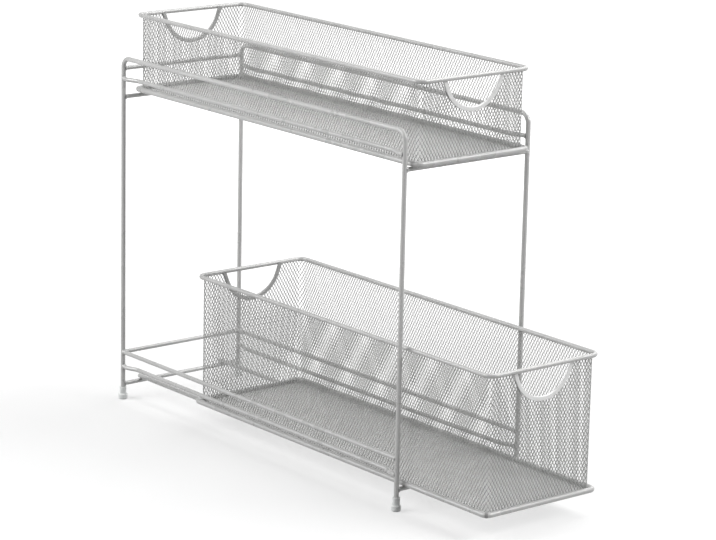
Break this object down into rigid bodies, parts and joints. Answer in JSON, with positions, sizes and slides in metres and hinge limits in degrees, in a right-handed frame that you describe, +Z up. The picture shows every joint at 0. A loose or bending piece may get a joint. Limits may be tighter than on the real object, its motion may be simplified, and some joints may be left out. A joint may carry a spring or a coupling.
{
  "type": "pull-out cabinet organizer",
  "caption": "Two-tier pull-out organizer: a bent-wire frame on plastic feet with sliding mesh baskets.",
  "frame": {"origin": "bottom centre of the bounding box, on the surface that the feet stand on", "axes": "+Z up; -Y towards the front, the way the baskets pull out; +X to the right seen from the front"},
  "size_m": [0.168, 0.6008, 0.4299],
  "materials": {
    "wire": "satin silver-grey coating over steel wire",
    "mesh": "satin silver-grey coating over expanded steel mesh",
    "trim": "satin light grey coating over folded steel strip",
    "foot": "milky translucent plastic"
  },
  "bodies": {
    "frame": {"side_loop_left": "wire", "side_loop_right": "wire", "foot_front_left": "foot", "foot_front_right": "foot", "foot_back_left": "foot", "foot_back_right": "foot", "upper_runner_left": "wire", "upper_runner_right": "wire", "lower_runner_left": "wire", "lower_runner_right": "wire", "upper_guide_left": "wire", "upper_guide_right": "wire", "lower_guide_left": "wire", "lower_guide_right": "wire", "lower_fence_left": "wire", "lower_fence_right": "wire", "upper_back_top_wire": "wire", "upper_back_bottom_wire": "wire", "upper_front_wire": "wire", "lower_back_top_wire": "wire", "lower_back_bottom_wire": "wire", "lower_front_wire": "wire"},
    "upper_basket": {"upper_top_rim": "wire", "upper_base_rim": "wire", "upper_floor_mesh": "mesh", "upper_left_mesh": "mesh", "upper_right_mesh": "mesh", "upper_front_mesh": "mesh", "upper_back_mesh": "mesh", "upper_front_trim": "trim", "upper_back_trim": "trim"},
    "lower_basket": {"lower_top_rim": "wire", "lower_base_rim": "wire", "lower_floor_mesh": "mesh", "lower_left_mesh": "mesh", "lower_right_mesh": "mesh", "lower_front_mesh": "mesh", "lower_back_mesh": "mesh", "lower_front_trim": "trim", "lower_back_trim": "trim"}
  },
  "joints": [
    {"name": "upper_slide", "type": "slide", "parent": "frame", "child": "upper_basket", "axis": [0, -1, 0], "range_m": [-0.0105, 0.3295]},
    {"name": "lower_slide", "type": "slide", "parent": "frame", "child": "lower_basket", "axis": [0, -1, 0], "range_m": [-0.124, 0.216]}
  ]
}
